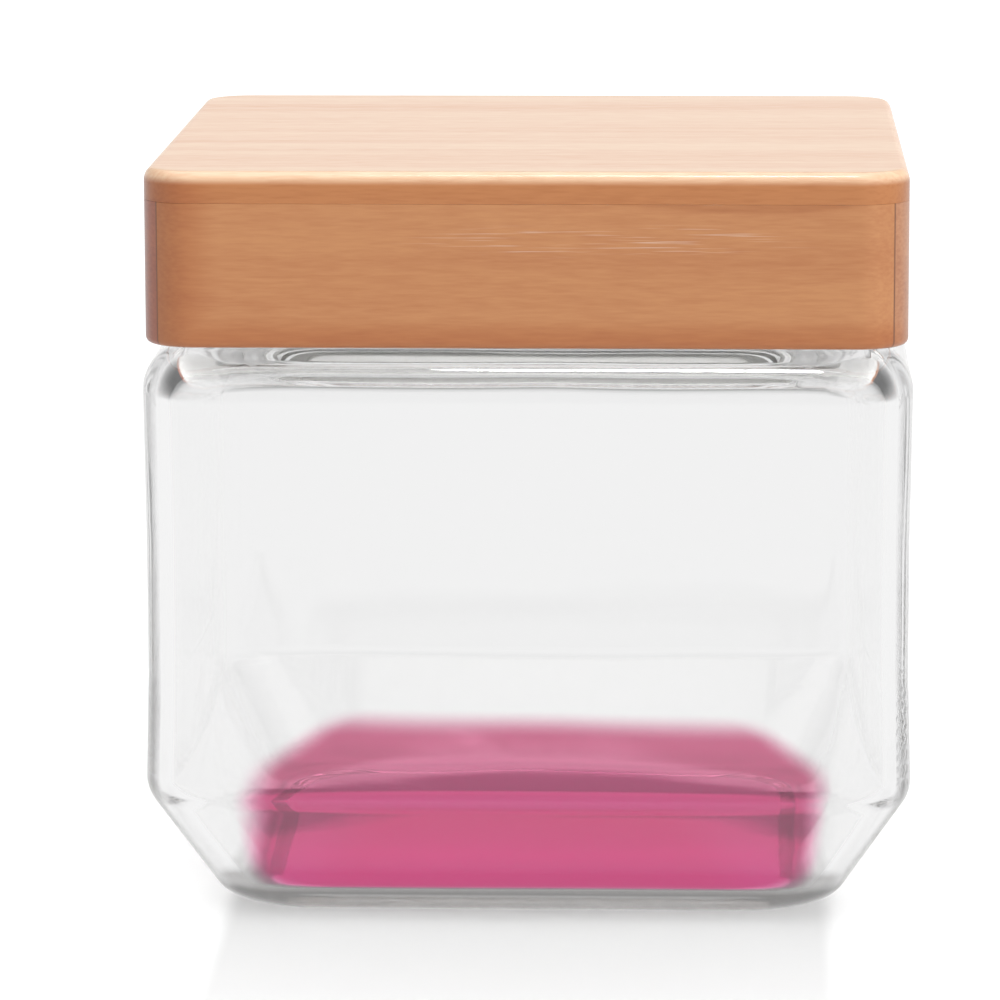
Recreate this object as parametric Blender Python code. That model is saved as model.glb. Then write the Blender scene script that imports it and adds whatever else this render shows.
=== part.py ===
"""Square glass candy jar with a chamfered base and a framed wooden lid.

Metres, +Z up. The origin is the middle of the base, on the surface that the jar stands on.
The front is at -Y. The lid lifts straight up out of the mouth.
"""

from math import pi, radians, sin, tan

import bmesh
import bpy
from mathutils import Matrix, Vector

# Clearance between pieces that touch or are glued
PIECE_GAP = 0.0003

# Glass jar, outside
JAR_WIDTH = 0.1108
JAR_CORNER_RADIUS = 0.012
CHAMFER_DEPTH = 0.0108
CHAMFER_HEIGHT = 0.0188
CHAMFER_BEND_RADIUS = 0.003
BASE_EDGE_RADIUS = 0.002
WALL_SWELL = 0.0004
WALL_SWELL_HEIGHT = 0.018
SHOULDER_HEIGHT = 0.0842
SHOULDER_RADIUS = 0.0067
NECK_ROOT_RADIUS = 0.0015

# Glass jar, underside: a ring that bears on the table round a shallow push-up
BEARING_WIDTH = 0.005
PUSH_UP_HEIGHT = 0.0008
PUSH_UP_SLOPE_WIDTH = 0.0025

# Glass jar, inside
GLASS_WALL = 0.0038
GLASS_FLOOR = 0.004
INNER_FLOOR_RADIUS = 0.005
INNER_SHOULDER_RADIUS = 0.005
MOUTH_EDGE_RADIUS = 0.0025

# Wooden lid: a top board on a frame of four mitred strips
LID_HEIGHT = 0.0252
LID_INSET = 0.0008
LID_CORNER_RADIUS = 0.0075
LID_REST_GAP = 0.0006
BOARD_THICKNESS = 0.0045
BOARD_EDGE_RADIUS = 0.0019
BOARD_CAP_INSET = 0.004
STRIP_THICKNESS = 0.0095
STRIP_OUTER_EDGE_RADIUS = 0.001
STRIP_INNER_EDGE_RADIUS = 0.0005
FRAME_INNER_CORNER_RADIUS = 0.001
FRAME_CLEARANCE = 0.0033

# Plug board under the lid, which fits the mouth, and the groove in its side
PLUG_DEPTH = 0.012
PLUG_CLEARANCE = 0.0012
PLUG_EDGE_RADIUS = 0.001
PLUG_CAP_INSET = 0.005
GROOVE_DROP = 0.003
GROOVE_HEIGHT = 0.006
GROOVE_DEPTH = 0.0024

# Silicone seal in the groove
SEAL_SKIN = 0.0012
FIN_COUNT = 3
FIN_THICKNESS = 0.0009
FIN_LIFT = 0.0003

# Fineness of the round stretches
CORNER_STEPS = 8
ARC_STEP_ANGLE = radians(15)
SHARP_ANGLE = radians(35)

# Sizes that follow from those above
JAR_HALF = JAR_WIDTH / 2
BASE_HALF = JAR_HALF - CHAMFER_DEPTH
INNER_HALF = JAR_HALF - GLASS_WALL
LID_HALF = JAR_HALF - LID_INSET
FRAME_INNER_HALF = LID_HALF - STRIP_THICKNESS
NECK_HALF = FRAME_INNER_HALF - FRAME_CLEARANCE
MOUTH_HALF = NECK_HALF - GLASS_WALL
INNER_CORNER_RADIUS = JAR_CORNER_RADIUS - GLASS_WALL

LID_BOTTOM = SHOULDER_HEIGHT + LID_REST_GAP
BOARD_BOTTOM = LID_BOTTOM + LID_HEIGHT - BOARD_THICKNESS
RIM_HEIGHT = BOARD_BOTTOM - PIECE_GAP
FRAME_HEIGHT = LID_HEIGHT - BOARD_THICKNESS - PIECE_GAP

GROOVE_TOP = PLUG_DEPTH - GROOVE_DROP
GROOVE_BOTTOM = GROOVE_TOP - GROOVE_HEIGHT


def clear_scene():
    """Remove every object that the scene starts with."""
    for item in list(bpy.data.objects):
        bpy.data.objects.remove(item, do_unlink=True)


def linear_colour(hex_colour):
    """Linear red, green, blue and alpha of an sRGB colour written as six hex digits."""
    channels = [int(hex_colour[start:start + 2], 16) / 255 for start in (0, 2, 4)]
    linear = [c / 12.92 if c <= 0.04045 else ((c + 0.055) / 1.055) ** 2.4 for c in channels]
    return (*linear, 1.0)


def make_material(name, hex_colour, roughness, transmission=0.0):
    """A plain Principled material."""
    material = bpy.data.materials.new(name)
    material.use_nodes = True
    shader = material.node_tree.nodes["Principled BSDF"]
    shader.inputs["Base Color"].default_value = linear_colour(hex_colour)
    shader.inputs["Roughness"].default_value = roughness
    shader.inputs["Metallic"].default_value = 0.0
    shader.inputs["Transmission Weight"].default_value = transmission
    material.diffuse_color = linear_colour(hex_colour)
    return material


def rounded_corner(before, corner, after, radius):
    """Points of the arc that rounds one corner of a path, or the corner itself at radius 0."""
    if radius == 0:
        return [corner]
    to_before = (before - corner).normalized()
    to_after = (after - corner).normalized()
    half_angle = to_before.angle(to_after) / 2
    centre = corner + (to_before + to_after).normalized() * (radius / sin(half_angle))
    start = corner + to_before * (radius / tan(half_angle)) - centre
    turn = pi - 2 * half_angle
    if to_before.cross(to_after) > 0:
        turn = -turn
    steps = max(1, round(abs(turn) / ARC_STEP_ANGLE))
    return [centre + Matrix.Rotation(turn * step / steps, 2) @ start for step in range(steps + 1)]


def rounded_path(corners):
    """A path through corners given as (across, up, radius), each rounded to its radius."""
    places = [Vector(corner[:2]) for corner in corners]
    path = [places[0]]
    for before, corner, after, given in zip(places, places[1:], places[2:], corners[1:]):
        path += rounded_corner(before, corner, after, given[2])
    path.append(places[-1])
    return path


def rounded_square(half_width, corner_radius, height):
    """One ring of points round a square with rounded corners, seen from above."""
    ring = []
    for corner in range(4):
        quarter = Matrix.Rotation(corner * pi / 2, 3, "Z")
        centre = Vector((half_width - corner_radius, half_width - corner_radius, height))
        for step in range(CORNER_STEPS + 1):
            spoke = Matrix.Rotation(step / CORNER_STEPS * pi / 2, 3, "Z") @ Vector((corner_radius, 0, 0))
            ring.append(quarter @ (centre + spoke))
    return ring


def loft(rings, joined_ends=False):
    """A closed skin over the rings. Its ends are capped, or joined to each other."""
    skin = bmesh.new()
    rows = [[skin.verts.new(point) for point in ring] for ring in rings]
    pairs = list(zip(rows, rows[1:]))
    if joined_ends:
        pairs.append((rows[-1], rows[0]))
    else:
        skin.faces.new(rows[0])
        skin.faces.new(rows[-1])
    for row, next_row in pairs:
        for index, point in enumerate(row):
            following = (index + 1) % len(row)
            skin.faces.new((point, row[following], next_row[following], next_row[index]))
    bmesh.ops.recalc_face_normals(skin, faces=skin.faces)
    return skin


def mesh_from(skin, name, material):
    """A shaded mesh from the skin, with its material."""
    mesh = bpy.data.meshes.new(name)
    skin.to_mesh(mesh)
    skin.free()
    mesh.shade_smooth()
    mesh.set_sharp_from_angle(angle=SHARP_ANGLE)
    mesh.materials.append(material)
    return mesh


def add_object(name, mesh, parent=None, height=0.0, turn=0.0):
    """An object at a height on the middle axis, turned about it."""
    piece = bpy.data.objects.new(name, mesh)
    bpy.context.collection.objects.link(piece)
    piece.parent = parent
    piece.location = (0, 0, height)
    piece.rotation_euler = (0, 0, turn)
    return piece


def outside_path():
    """The glass's outer outline, from the push-up under the base to the top of the neck."""
    ring_inner = BASE_HALF - BEARING_WIDTH
    return rounded_path([
        (ring_inner - PUSH_UP_SLOPE_WIDTH, PUSH_UP_HEIGHT, 0),
        (ring_inner, 0, 0),
        (BASE_HALF, 0, BASE_EDGE_RADIUS),
        (JAR_HALF + WALL_SWELL, CHAMFER_HEIGHT, CHAMFER_BEND_RADIUS),
        (JAR_HALF, CHAMFER_HEIGHT + WALL_SWELL_HEIGHT, 0),
        (JAR_HALF, SHOULDER_HEIGHT, SHOULDER_RADIUS),
        (NECK_HALF, SHOULDER_HEIGHT, NECK_ROOT_RADIUS),
        (NECK_HALF, RIM_HEIGHT - GLASS_WALL / 2, 0),
    ])


def inside_path():
    """The glass's inner outline, from the top of the mouth down to the floor.

    Its chamfer runs beside the outer chamfer, one wall thickness in.
    """
    foot = Vector((BASE_HALF, 0))
    up_chamfer = (Vector((JAR_HALF + WALL_SWELL, CHAMFER_HEIGHT)) - foot).normalized()
    inner_foot = foot + Vector((-up_chamfer.y, up_chamfer.x)) * GLASS_WALL
    lean = up_chamfer.x / up_chamfer.y
    bend_height = inner_foot.y + (INNER_HALF - inner_foot.x) / lean
    floor_half = inner_foot.x + (GLASS_FLOOR - inner_foot.y) * lean
    ceiling = SHOULDER_HEIGHT - GLASS_WALL
    floor_cap_half = BASE_HALF - BEARING_WIDTH - PUSH_UP_SLOPE_WIDTH
    return rounded_path([
        (MOUTH_HALF, RIM_HEIGHT - GLASS_WALL / 2, 0),
        (MOUTH_HALF, ceiling, MOUTH_EDGE_RADIUS),
        (INNER_HALF, ceiling, INNER_SHOULDER_RADIUS),
        (INNER_HALF, bend_height, CHAMFER_BEND_RADIUS),
        (floor_half, GLASS_FLOOR, INNER_FLOOR_RADIUS),
        (floor_cap_half, GLASS_FLOOR, 0),
    ])


def rim_rings():
    """Rings of the round rim, between the outer and the inner outline."""
    rim_radius = GLASS_WALL / 2
    steps = round(pi / ARC_STEP_ANGLE)
    rings = []
    for step in range(1, steps):
        spoke = Matrix.Rotation(pi * step / steps, 2) @ Vector((rim_radius, 0))
        half_width = NECK_HALF - rim_radius + spoke.x
        corner_radius = JAR_CORNER_RADIUS - (NECK_HALF - half_width)
        rings.append(rounded_square(half_width, corner_radius, RIM_HEIGHT - rim_radius + spoke.y))
    return rings


def build_jar(glass):
    """The moulded glass: one shell from the push-up round the rim to the floor inside."""
    rings = [rounded_square(across, JAR_CORNER_RADIUS, up) for across, up in outside_path()]
    rings += rim_rings()
    rings += [rounded_square(across, INNER_CORNER_RADIUS, up) for across, up in inside_path()]
    return add_object("glass_jar", mesh_from(loft(rings), "glass_jar", glass))


def build_top_board(lid, wood):
    """The lid's top board, round along its upper edge."""
    path = rounded_path([
        (BOARD_CAP_INSET, 0, 0),
        (0, 0, 0),
        (0, BOARD_THICKNESS, BOARD_EDGE_RADIUS),
        (BOARD_CAP_INSET, BOARD_THICKNESS, 0),
    ])
    rings = [
        rounded_square(LID_HALF - inset, LID_CORNER_RADIUS - inset, up)
        for inset, up in path
    ]
    mesh = mesh_from(loft(rings), "lid_top_board", wood)
    return add_object("lid_top_board", mesh, lid, FRAME_HEIGHT + PIECE_GAP)


def frame_skin():
    """The four strips as one ring, before the mitres part them."""
    path = rounded_path([
        (0, FRAME_HEIGHT, 0),
        (0, 0, STRIP_OUTER_EDGE_RADIUS),
        (STRIP_THICKNESS, 0, STRIP_INNER_EDGE_RADIUS),
        (STRIP_THICKNESS, FRAME_HEIGHT, 0),
    ])
    rings = []
    for inset, up in path:
        corner_radius = max(LID_CORNER_RADIUS - inset, FRAME_INNER_CORNER_RADIUS)
        rings.append(rounded_square(LID_HALF - inset, corner_radius, up))
    return loft(rings, joined_ends=True)


def strip_mesh(wood):
    """One strip: the front quarter of the ring, between two mitre cuts."""
    skin = frame_skin()
    for side in (-1, 1):
        outward = Vector((side, 1, 0)).normalized()
        cut = bmesh.ops.bisect_plane(
            skin,
            geom=skin.verts[:] + skin.edges[:] + skin.faces[:],
            plane_co=outward * (-PIECE_GAP / 2),
            plane_no=outward,
            clear_outer=True,
        )
        cut_edges = [item for item in cut["geom_cut"] if isinstance(item, bmesh.types.BMEdge)]
        bmesh.ops.holes_fill(skin, edges=cut_edges)
    bmesh.ops.recalc_face_normals(skin, faces=skin.faces)
    return mesh_from(skin, "lid_strip", wood)


def build_frame(lid, wood):
    """The four strips, each a quarter turn on from the one before."""
    mesh = strip_mesh(wood)
    for quarter, side in enumerate(("front", "right", "back", "left")):
        add_object(f"lid_{side}_strip", mesh, lid, turn=quarter * pi / 2)


def mouth_ring(gap, height):
    """A ring that lies the given gap inside the mouth all round."""
    return rounded_square(MOUTH_HALF - gap, INNER_CORNER_RADIUS - gap, height)


def build_plug_board(lid, wood):
    """The board that drops into the mouth, with the seal's groove round its side."""
    groove_gap = PLUG_CLEARANCE + GROOVE_DEPTH
    cap_gap = PLUG_CLEARANCE + PLUG_CAP_INSET
    path = rounded_path([
        (cap_gap, 0, 0),
        (PLUG_CLEARANCE, 0, PLUG_EDGE_RADIUS),
        (PLUG_CLEARANCE, GROOVE_BOTTOM, 0),
        (groove_gap, GROOVE_BOTTOM, 0),
        (groove_gap, GROOVE_TOP, 0),
        (PLUG_CLEARANCE, GROOVE_TOP, 0),
        (PLUG_CLEARANCE, PLUG_DEPTH, 0),
        (cap_gap, PLUG_DEPTH, 0),
    ])
    rings = [mouth_ring(gap, up) for gap, up in path]
    mesh = mesh_from(loft(rings), "lid_plug_board", wood)
    return add_object("lid_plug_board", mesh, lid, FRAME_HEIGHT - PLUG_DEPTH)


def seal_path():
    """The seal's section, up its inner side and down over the fins."""
    inner_gap = PLUG_CLEARANCE + GROOVE_DEPTH - PIECE_GAP
    root_gap = inner_gap - SEAL_SKIN
    height = GROOVE_HEIGHT - 2 * PIECE_GAP
    pitch = height / FIN_COUNT
    path = [(inner_gap, 0), (inner_gap, height), (root_gap, height)]
    for fin in range(FIN_COUNT):
        middle = height - (fin + 1 / 2) * pitch
        path.append((root_gap, middle + FIN_THICKNESS / 2))
        path.append((PIECE_GAP, middle + FIN_LIFT + FIN_THICKNESS / 4))
        path.append((PIECE_GAP, middle + FIN_LIFT - FIN_THICKNESS / 4))
        path.append((root_gap, middle - FIN_THICKNESS / 2))
    path.append((root_gap, 0))
    return path


def build_seal(lid, silicone):
    """The soft finned ring that sits in the groove and wipes the mouth."""
    rings = [mouth_ring(gap, up) for gap, up in seal_path()]
    mesh = mesh_from(loft(rings, joined_ends=True), "seal_ring", silicone)
    height = FRAME_HEIGHT - PLUG_DEPTH + GROOVE_BOTTOM + PIECE_GAP
    return add_object("seal_ring", mesh, lid, height)


def build_candy_jar():
    """The whole jar with its lid on. The lid's pieces hang from one empty on the lift axis."""
    clear_scene()
    glass = make_material("clear_glass", "F3F5F5", 0.02, transmission=1.0)
    board_wood = make_material("lid_board_wood", "F2D3B5", 0.45)
    frame_wood = make_material("lid_frame_wood", "C2875D", 0.45)
    plug_wood = make_material("lid_plug_wood", "D9AE84", 0.55)
    silicone = make_material("seal_silicone", "E6E6E2", 0.5)

    lid = add_object("lid_lift_axis", None, height=LID_BOTTOM)
    build_jar(glass)
    build_top_board(lid, board_wood)
    build_frame(lid, frame_wood)
    build_plug_board(lid, plug_wood)
    build_seal(lid, silicone)


build_candy_jar()
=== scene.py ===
# %% [markdown]
# # A candy jar: pressed glass under a framed pine lid
# The real jar is one piece of clear pressed glass, square with round corners, that narrows
# to its base by a slanted band. Its lid is a pine board on a frame of four mitred strips.
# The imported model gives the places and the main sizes, so it is loaded first and its box is
# kept. A visual model of such a jar could be drawn freely in Blender, but one that starts from
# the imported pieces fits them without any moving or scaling.

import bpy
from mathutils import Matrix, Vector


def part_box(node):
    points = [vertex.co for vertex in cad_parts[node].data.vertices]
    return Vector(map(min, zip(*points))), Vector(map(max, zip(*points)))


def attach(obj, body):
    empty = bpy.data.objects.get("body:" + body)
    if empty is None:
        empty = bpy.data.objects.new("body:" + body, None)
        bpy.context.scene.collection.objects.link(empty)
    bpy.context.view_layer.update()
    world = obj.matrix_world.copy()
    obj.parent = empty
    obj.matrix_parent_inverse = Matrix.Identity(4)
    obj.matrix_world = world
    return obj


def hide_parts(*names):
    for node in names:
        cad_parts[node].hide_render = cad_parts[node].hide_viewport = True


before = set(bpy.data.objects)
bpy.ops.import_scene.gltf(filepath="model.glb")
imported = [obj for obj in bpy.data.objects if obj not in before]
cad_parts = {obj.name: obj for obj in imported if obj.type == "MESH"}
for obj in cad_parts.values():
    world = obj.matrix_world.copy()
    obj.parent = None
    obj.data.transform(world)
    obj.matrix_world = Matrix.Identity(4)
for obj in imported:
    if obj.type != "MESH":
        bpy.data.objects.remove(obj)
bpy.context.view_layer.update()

# %% The other modules
import math

import bmesh
import bpy
from mathutils import Matrix, Vector

# %% [markdown]
# ## Colours and nodes
# Colours are written as six hex digits, as a paint chart gives them, and Blender's shaders
# want linear light, so one function turns the one into the other. Every material and every
# Geometry Nodes tree below is a set of nodes. They could be drawn by hand in the editor, but a
# script shows each value, so one small function adds a node, sets it and links it.

# %% Linear colours
def linear(hex_colour):
    """Linear red, green, blue and alpha of an sRGB colour written as six hex digits."""
    channels = [int(hex_colour[start:start + 2], 16) / 255 for start in (0, 2, 4)]
    curved = [c / 12.92 if c <= 0.04045 else ((c + 0.055) / 1.055) ** 2.4 for c in channels]
    return (*curved, 1.0)


def grey(level):
    """A neutral colour of a linear level."""
    return (level, level, level, 1.0)


WHITE = grey(1.0)
BLACK = grey(0.0)


# %% One node
def add_node(tree, kind, inputs=None, **settings):
    """A new node. Each input is a value, or the output socket that feeds it."""
    node = tree.nodes.new(kind)
    for name, value in settings.items():
        setattr(node, name, value)
    for name, value in (inputs or {}).items():
        if isinstance(value, bpy.types.NodeSocket):
            tree.links.new(value, node.inputs[name])
        else:
            node.inputs[name].default_value = value
    return node


# %% [markdown]
# ## Distance from an upright post
# Seen from above, the jar and its lid are squares with round corners, and their wear, stain
# and shade follow that outline. A mask painted by hand would fit one size only, so the
# distance from such an outline is worked out: the corner's middle is taken from the place,
# what is left is kept where it is positive, and the corner's radius is taken from its length.


# %% Distance from a square post with round corners
def box_distance(tree, place, half, corner):
    """How far a place lies outside an upright post; well inside it the number is negative.

    The post has the given half width and corner radius.
    """
    middle = half - corner
    for operation, other in (("ABSOLUTE", (0, 0, 0)), ("SUBTRACT", (middle, middle, 0)),
                             ("MAXIMUM", (0, 0, 0)), ("MULTIPLY", (1, 1, 0))):
        place = add_node(tree, "ShaderNodeVectorMath", {0: place, 1: other},
                         operation=operation).outputs[0]
    length = add_node(tree, "ShaderNodeVectorMath", {0: place}, operation="LENGTH")
    return add_node(tree, "ShaderNodeMath", {0: length.outputs["Value"], 1: corner},
                    operation="SUBTRACT").outputs[0]


# %% [markdown]
# ## Camera
# The photograph is taken from a little above the lid and a little to the right, with a long
# lens. Place, turn and lens were fitted to the outline of the lid and the glass. The matrix is
# built from the three turns, because a roll of a tenth of a degree is easily lost otherwise.

# %% Camera at the photograph's angle
CAMERA_PLACE = Vector((0.02835, -0.85269, 0.20170))
CAMERA_PAN = 0.0399
CAMERA_TILT = 0.1718
CAMERA_ROLL = -0.0025
LENS_MM = 204.73
SENSOR_MM = 36

gaze = Vector((
    -math.sin(CAMERA_PAN) * math.cos(CAMERA_TILT),
    math.cos(CAMERA_PAN) * math.cos(CAMERA_TILT),
    -math.sin(CAMERA_TILT),
))
level_right = Vector((math.cos(CAMERA_PAN), math.sin(CAMERA_PAN), 0))
level_up = level_right.cross(gaze)
right = level_right * math.cos(CAMERA_ROLL) + level_up * math.sin(CAMERA_ROLL)
up = level_up * math.cos(CAMERA_ROLL) - level_right * math.sin(CAMERA_ROLL)

camera = bpy.data.objects.new("camera", bpy.data.cameras.new("camera"))
camera.data.lens = LENS_MM
camera.data.sensor_width = SENSOR_MM
camera.data.clip_start = 0.05
camera.data.clip_end = 20
camera_turn = Matrix((right, up, -gaze)).transposed().to_4x4()
camera.matrix_world = Matrix.Translation(CAMERA_PLACE) @ camera_turn
bpy.context.collection.objects.link(camera)
bpy.context.scene.camera = camera
print("camera looks along", [round(part, 3) for part in gaze])

# %% [markdown]
# ## Studio floor
# Clear glass shows only what stands round it, so the floor matters as much as the glass. A
# white floor under strong light would burn out the pale lid too. Here it is a plain matt
# surface that also glows a little of its own, so that it is white to the camera and keeps the
# jar's faint shadow.
#
# A real tabletop mirrors the jar faintly, as a grey zone before it. A glossy floor would
# mirror the lamps and the lid as well, so the glow is weaker there instead: in a zone as wide
# as the base, darkest at the jar, that fades out before it. Each pair of numbers says where
# a change begins and where it is complete, as a distance from the jar's middle.

# %% Sizes and levels of the floor
FLOOR_SIZE = 9.0
FLOOR_DROP = 0.0001
FLOOR_MATT = 0.55
GLOW_BESIDE = 0.54
GLOW_AT_JAR = 0.255
GLOW_FURTHER = 0.335
ZONE_SIDE = (0.0420, 0.0460)
ZONE_START = (0.030, 0.0)
ZONE_PALER = (0.046, 0.100)
ZONE_END = (0.100, 0.150)
print("the grey zone ends", round(ZONE_END[1] * 1000), "mm before the jar's middle")

# %% A glow that is weaker in the grey zone
floor_paint = bpy.data.materials.new("floor_white_paint")
floor_paint.use_nodes = True
tree = floor_paint.node_tree
tree.nodes.clear()
floor_place = add_node(tree, "ShaderNodeTexCoord").outputs["Object"]
floor_axes = add_node(tree, "ShaderNodeSeparateXYZ", {0: floor_place}).outputs
before_jar = add_node(tree, "ShaderNodeMath", {0: floor_axes["Y"], 1: -1.0},
                      operation="MULTIPLY").outputs[0]
aside = add_node(tree, "ShaderNodeMath", {0: floor_axes["X"]}, operation="ABSOLUTE").outputs[0]
zone_glow = add_node(tree, "ShaderNodeMapRange",
                     {"Value": before_jar, "From Min": ZONE_PALER[0], "From Max": ZONE_PALER[1],
                      "To Min": GLOW_AT_JAR, "To Max": GLOW_FURTHER}).outputs[0]
for (begins, complete), missing in ((ZONE_END, GLOW_BESIDE - GLOW_FURTHER),
                                    (ZONE_START, GLOW_BESIDE - GLOW_AT_JAR)):
    regained = add_node(tree, "ShaderNodeMapRange",
                        {"Value": before_jar, "From Min": begins, "From Max": complete,
                         "To Max": missing}).outputs[0]
    zone_glow = add_node(tree, "ShaderNodeMath", {0: zone_glow, 1: regained}).outputs[0]
glow_level = add_node(tree, "ShaderNodeMapRange",
                      {"Value": aside, "From Min": ZONE_SIDE[0], "From Max": ZONE_SIDE[1],
                       "To Min": zone_glow, "To Max": GLOW_BESIDE},
                      interpolation_type="SMOOTHSTEP").outputs[0]
matt = add_node(tree, "ShaderNodeBsdfDiffuse", {"Color": grey(FLOOR_MATT)})
glow = add_node(tree, "ShaderNodeEmission", {"Color": WHITE, "Strength": glow_level})
seen_directly = add_node(tree, "ShaderNodeAddShader", {0: matt.outputs[0], 1: glow.outputs[0]})

# %% [markdown]
# ## The floor through the glass
# A ray that glass has bent or mirrored meets a plain white glow instead of the shaded paint,
# and Light Path tells which rays those are. The glow is a little weaker under the jar, where
# less light comes. Light that the wood gathers finds it stronger, because a real floor under
# studio lamps lights the lid from below. All other light meets a plain matt white.

# %% What the glass and the wood see of the floor
SEEN_IN_GLASS = 0.93
SEEN_UNDER_JAR = 0.80
UNDER_JAR_HALF = 0.036
UNDER_JAR_CORNER = 0.008
UNDER_JAR_FADE = 0.012
LIFT_FROM_BELOW = 1.45
FLOOR_WHITE = 0.8

floor_rays = add_node(tree, "ShaderNodeLightPath").outputs
from_jar = box_distance(tree, floor_place, UNDER_JAR_HALF, UNDER_JAR_CORNER)
white_level = add_node(tree, "ShaderNodeMapRange",
                       {"Value": from_jar, "From Min": 0.0, "From Max": UNDER_JAR_FADE,
                        "To Min": SEEN_UNDER_JAR, "To Max": SEEN_IN_GLASS},
                       interpolation_type="SMOOTHSTEP").outputs[0]
lift = add_node(tree, "ShaderNodeMath",
                {0: floor_rays["Diffuse Depth"], 1: LIFT_FROM_BELOW, 2: 1.0},
                operation="MULTIPLY_ADD").outputs[0]
white_level = add_node(tree, "ShaderNodeMath", {0: white_level, 1: lift},
                       operation="MULTIPLY").outputs[0]
seen_in_glass = add_node(tree, "ShaderNodeEmission",
                         {"Color": WHITE, "Strength": white_level})
plain_white = add_node(tree, "ShaderNodeBsdfDiffuse", {"Color": grey(FLOOR_WHITE)})
bent = add_node(tree, "ShaderNodeMath",
                {0: floor_rays["Is Glossy Ray"], 1: floor_rays["Is Transmission Ray"]},
                operation="MAXIMUM")
indirect = add_node(tree, "ShaderNodeMixShader",
                    {0: bent.outputs[0], 1: plain_white.outputs[0],
                     2: seen_in_glass.outputs[0]})
floor_surface = add_node(tree, "ShaderNodeMixShader",
                         {0: floor_rays["Is Camera Ray"], 1: indirect.outputs[0],
                          2: seen_directly.outputs[0]})
add_node(tree, "ShaderNodeOutputMaterial", {"Surface": floor_surface.outputs[0]})
print("floor_white_paint has", len(tree.nodes), "nodes")

# %% The floor itself
reach = FLOOR_SIZE / 2
floor_corners = [(-reach, -reach), (reach, -reach), (reach, reach), (-reach, reach)]
floor_mesh = bpy.data.meshes.new("floor")
floor_mesh.from_pydata([(x, y, -FLOOR_DROP) for x, y in floor_corners], [], [(0, 1, 2, 3)])
floor_mesh.materials.append(floor_paint)
floor = bpy.data.objects.new("floor", floor_mesh)
bpy.context.collection.objects.link(floor)
print("floor", FLOOR_SIZE, "m across")

# %% [markdown]
# ## Surround
# The surround is white at eye level and grey overhead. Flat glass shows the white part, and
# the round edges bend the grey part into view, which draws them. White cards under a dark
# ceiling do this in a studio, and here a soft step between two levels is enough. Wood gathers
# an even, weaker light from all round, and a stronger one through the glass, or the lid's
# underside would be black behind the shoulder.

# %% Surround: white at eye level, grey overhead
SURROUND_LOW = 0.93
SURROUND_HIGH = 0.15
SURROUND_STEP = (0.05, 0.45)
WORLD_FILL = 0.40
LIGHT_THROUGH_GLASS = 2.3

world = bpy.data.worlds.new("studio")
bpy.context.scene.world = world
world.use_nodes = True
tree = world.node_tree
tree.nodes.clear()
direction = add_node(tree, "ShaderNodeTexCoord").outputs["Generated"]
height = add_node(tree, "ShaderNodeSeparateXYZ", {0: direction}).outputs["Z"]
surround = add_node(tree, "ShaderNodeMapRange",
                    {"Value": height, "From Min": SURROUND_STEP[0],
                     "From Max": SURROUND_STEP[1], "To Min": SURROUND_LOW,
                     "To Max": SURROUND_HIGH}, interpolation_type="SMOOTHSTEP").outputs[0]
world_rays = add_node(tree, "ShaderNodeLightPath").outputs
gathered_level = add_node(tree, "ShaderNodeMapRange",
                          {"Value": world_rays["Transmission Depth"], "From Max": 1.0,
                           "To Min": WORLD_FILL, "To Max": LIGHT_THROUGH_GLASS}).outputs[0]
world_level = WORLD_FILL
for ray_kind, wanted in (("Is Transmission Ray", surround), ("Is Glossy Ray", surround),
                         ("Diffuse Depth", gathered_level), ("Is Camera Ray", 1.0)):
    world_level = add_node(tree, "ShaderNodeMix",
                           {"Factor": world_rays[ray_kind], "A": world_level, "B": wanted},
                           data_type="FLOAT").outputs["Result"]
studio_light = add_node(tree, "ShaderNodeBackground",
                        {"Color": WHITE, "Strength": world_level})
add_node(tree, "ShaderNodeOutputWorld", {"Surface": studio_light.outputs[0]})
print("surround from", SURROUND_LOW, "at eye level to", SURROUND_HIGH, "overhead")

# %% [markdown]
# ## Soft lamps
# A wide lamp overhead lights the top board, a narrow one draws the bright line along its
# rounded edge, and a fill from the front right lights the frame. Area lamps would grow weaker
# across the jar, while a sun lamp spread over an angle is as soft and the same everywhere. The
# fill has no glare: it stands for light off a white wall, which leaves no bright spot on
# lacquer or glass.


# %% Soft lamps
def add_softbox(name, place, spread, level, glare=True):
    """A soft lamp, far away in the direction of place, spread over an angle in degrees.

    Level is how bright it alone draws a white surface that faces it.
    """
    lamp = bpy.data.lights.new(name, "SUN")
    lamp.angle = math.radians(spread)
    lamp.energy = level * math.pi
    softbox = bpy.data.objects.new(name, lamp)
    softbox.rotation_euler = Vector(place).to_track_quat("Z", "Y").to_euler()
    softbox.visible_glossy = glare
    softbox.visible_transmission = glare
    bpy.context.collection.objects.link(softbox)
    print(name, "spread over", spread, "degrees, level", level)


add_softbox("overhead_softbox", (0.0, 0.27, 1.0), 65, 0.52)
add_softbox("edge_strip_light", (0.02, -0.36, 1.0), 8, 0.185)
add_softbox("front_fill", (1.0, -1.05, 0.45), 50, 0.575, glare=False)
bpy.context.scene.view_settings.view_transform = "Standard"

# %% [markdown]
# ## Bounces
# Light that enters the edge of a glass wall is mirrored dozens of times inside it before it
# leaves. With the usual few bounces such light ends black and the jar's edges look sooty. A
# paler glass would hide that, but a higher limit cures it.

# %% Enough bounces for light that runs along inside the glass
GLASS_BOUNCES = 96
CLEAR_LAYERS = 32
bpy.context.scene.cycles.max_bounces = GLASS_BOUNCES
bpy.context.scene.cycles.transmission_bounces = GLASS_BOUNCES
bpy.context.scene.cycles.glossy_bounces = GLASS_BOUNCES
bpy.context.scene.cycles.transparent_max_bounces = CLEAR_LAYERS
print("light may turn", GLASS_BOUNCES, "times inside the glass")

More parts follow.
